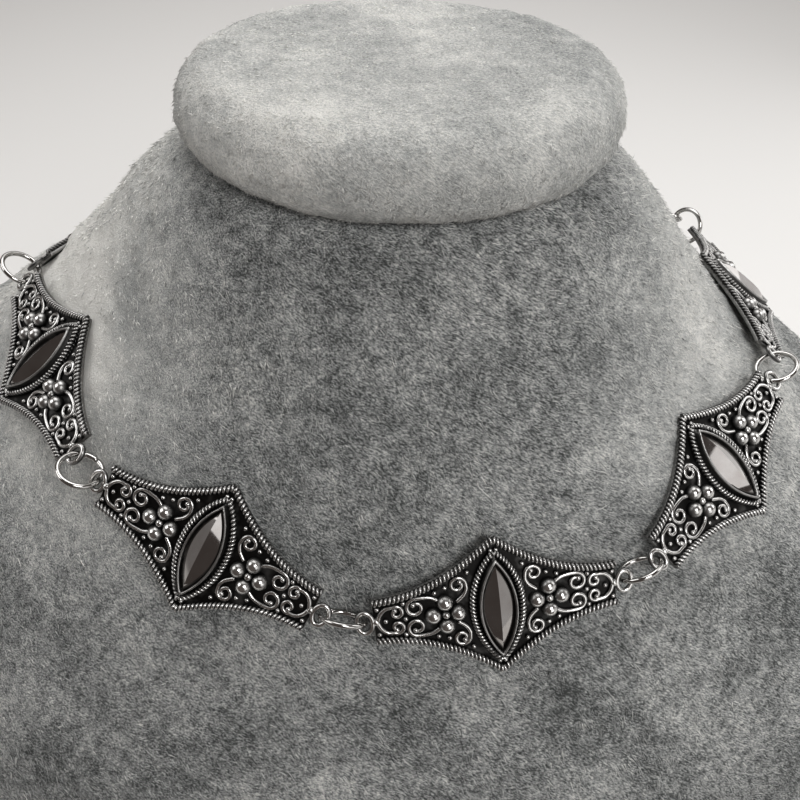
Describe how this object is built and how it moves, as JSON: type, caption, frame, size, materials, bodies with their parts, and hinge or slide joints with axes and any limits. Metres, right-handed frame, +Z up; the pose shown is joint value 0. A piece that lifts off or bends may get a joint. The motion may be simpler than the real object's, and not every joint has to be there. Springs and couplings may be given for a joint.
{
  "type": "charm choker on a neck bust",
  "caption": "Cast antique-silver link choker with pointed-oval dark stones, joined by jump rings and closed by a fine chain, worn by a plush neck bust.",
  "frame": {"origin": "centre of the neck's axis where it meets the underside of the bust", "axes": "+Z up along the neck's axis; -Y to the front of the bust, where the choker hangs lowest; +X to the right as the front is seen"},
  "size_m": [0.228, 0.1484, 0.1525],
  "materials": {
    "cast_silver": "cast and blackened, worn bright on the raised work",
    "bright_silver": "polished plated wire",
    "dark_stone": "polished dark metallic stone",
    "grey_plush": "short grey plush pile"
  },
  "bodies": {
    "root": {"bust_body": "grey_plush", "bust_cap": "grey_plush", "link_back_left": "cast_silver", "link_back_left_stone": "dark_stone", "link_left": "cast_silver", "link_left_stone": "dark_stone", "link_front_left": "cast_silver", "link_front_left_stone": "dark_stone", "link_front": "cast_silver", "link_front_stone": "dark_stone", "link_right": "cast_silver", "link_right_stone": "dark_stone", "link_back_right": "cast_silver", "link_back_right_stone": "dark_stone", "jump_ring_back_left": "bright_silver", "jump_ring_left": "bright_silver", "jump_ring_front_left": "bright_silver", "jump_ring_front": "bright_silver", "jump_ring_front_right": "bright_silver", "jump_ring_right": "bright_silver", "jump_ring_back_right": "bright_silver", "chain_right": "bright_silver", "chain_left": "bright_silver", "clasp": "bright_silver"}
  },
  "joints": []
}
